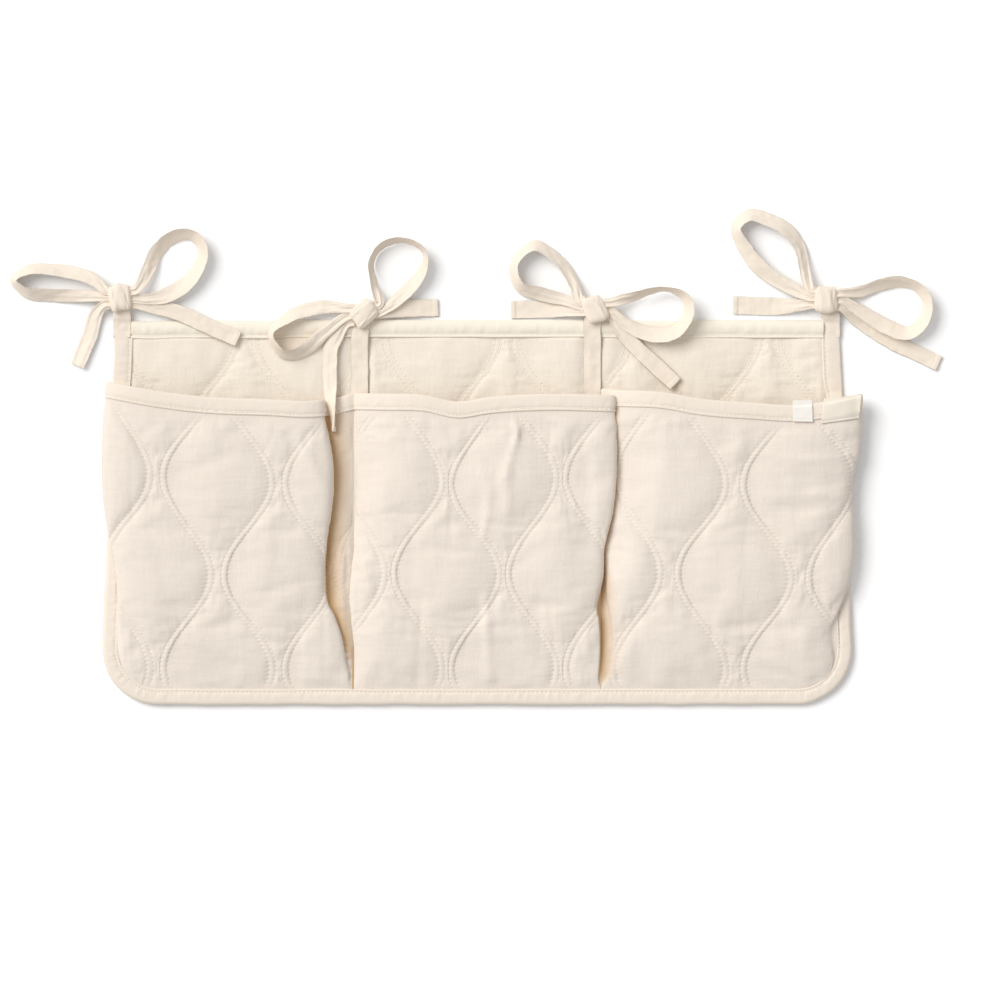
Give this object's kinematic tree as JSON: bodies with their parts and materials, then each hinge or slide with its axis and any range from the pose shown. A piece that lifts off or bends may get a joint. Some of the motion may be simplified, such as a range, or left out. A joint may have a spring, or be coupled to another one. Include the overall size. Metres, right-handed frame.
{
  "type": "playpen organizer",
  "caption": "Quilted cotton hanging organizer with bound edges, gaping front pockets side by side, and tie bows along its top edge for a cot or playpen rail.",
  "frame": {"origin": "middle of the rear face of the panel, which lies flat and face up", "axes": "+X to the right of the front, +Y to the top edge with the ties, +Z out of the front, up"},
  "size_m": [0.7394, 0.3916, 0.0277],
  "materials": {
    "quilted_cotton": "double gauze cotton, fine crinkle and slub",
    "lining_cotton": "plain double gauze cotton",
    "wadding": "matt polyester wadding",
    "binding_cotton": "bias-cut double gauze, stitched along its inner edge",
    "tie_cotton": "folded cotton tape, stitched along one edge",
    "label_tape": "bare satin-woven label tape"
  },
  "bodies": {
    "root": {"back_rear_cloth": "lining_cotton", "back_wadding": "wadding", "back_front_cloth": "quilted_cotton", "top_hem": "binding_cotton", "edge_binding": "binding_cotton", "pocket_left_lining": "lining_cotton", "pocket_left_wadding": "wadding", "pocket_left_cloth": "quilted_cotton", "pocket_left_mouth_binding": "binding_cotton", "pocket_centre_lining": "lining_cotton", "pocket_centre_wadding": "wadding", "pocket_centre_cloth": "quilted_cotton", "pocket_centre_mouth_binding": "binding_cotton", "pocket_right_lining": "lining_cotton", "pocket_right_wadding": "wadding", "pocket_right_cloth": "quilted_cotton", "pocket_right_mouth_binding": "binding_cotton", "label_small": "label_tape", "label_end": "label_tape", "tie_tape_1": "tie_cotton", "tie_tape_2": "tie_cotton", "tie_tape_3": "tie_cotton", "tie_tape_4": "tie_cotton", "bow_1_knot": "tie_cotton", "bow_2_knot": "tie_cotton", "bow_3_knot": "tie_cotton", "bow_4_knot": "tie_cotton", "bow_2_tail_tucked": "tie_cotton"},
    "bow_1_left": {"bow_1_loop_left": "tie_cotton", "bow_1_tail_left": "tie_cotton"},
    "bow_1_right": {"bow_1_loop_right": "tie_cotton", "bow_1_tail_right": "tie_cotton"},
    "bow_2_left": {"bow_2_loop_left": "tie_cotton"},
    "bow_2_right": {"bow_2_loop_right": "tie_cotton", "bow_2_tail_right": "tie_cotton"},
    "bow_3_left": {"bow_3_loop_left": "tie_cotton", "bow_3_tail_left": "tie_cotton"},
    "bow_3_right": {"bow_3_loop_right": "tie_cotton", "bow_3_tail_right": "tie_cotton"},
    "bow_4_left": {"bow_4_loop_left": "tie_cotton", "bow_4_tail_left": "tie_cotton"},
    "bow_4_right": {"bow_4_loop_right": "tie_cotton", "bow_4_tail_right": "tie_cotton"}
  },
  "joints": [
    {"name": "bow_1_left_lift", "type": "hinge", "parent": "root", "child": "bow_1_left", "pos_m": [-0.2922, 0.1705, 0.0107], "axis": [0, 1, 0], "range_deg": [0, 75]},
    {"name": "bow_1_right_lift", "type": "hinge", "parent": "root", "child": "bow_1_right", "pos_m": [-0.2762, 0.1705, 0.0107], "axis": [0, -1, 0], "range_deg": [0, 75]},
    {"name": "bow_2_left_lift", "type": "hinge", "parent": "root", "child": "bow_2_left", "pos_m": [-0.0982, 0.1582, 0.0107], "axis": [0, 1, 0], "range_deg": [0, 75]},
    {"name": "bow_2_right_lift", "type": "hinge", "parent": "root", "child": "bow_2_right", "pos_m": [-0.0822, 0.1582, 0.0107], "axis": [0, -1, 0], "range_deg": [0, 75]},
    {"name": "bow_3_left_lift", "type": "hinge", "parent": "root", "child": "bow_3_left", "pos_m": [0.0854, 0.1618, 0.0107], "axis": [0, 1, 0], "range_deg": [0, 75]},
    {"name": "bow_3_right_lift", "type": "hinge", "parent": "root", "child": "bow_3_right", "pos_m": [0.1014, 0.1618, 0.0107], "axis": [0, -1, 0], "range_deg": [0, 75]},
    {"name": "bow_4_left_lift", "type": "hinge", "parent": "root", "child": "bow_4_left", "pos_m": [0.269, 0.1693, 0.0107], "axis": [0, 1, 0], "range_deg": [0, 75]},
    {"name": "bow_4_right_lift", "type": "hinge", "parent": "root", "child": "bow_4_right", "pos_m": [0.285, 0.1693, 0.0107], "axis": [0, -1, 0], "range_deg": [0, 75]}
  ]
}
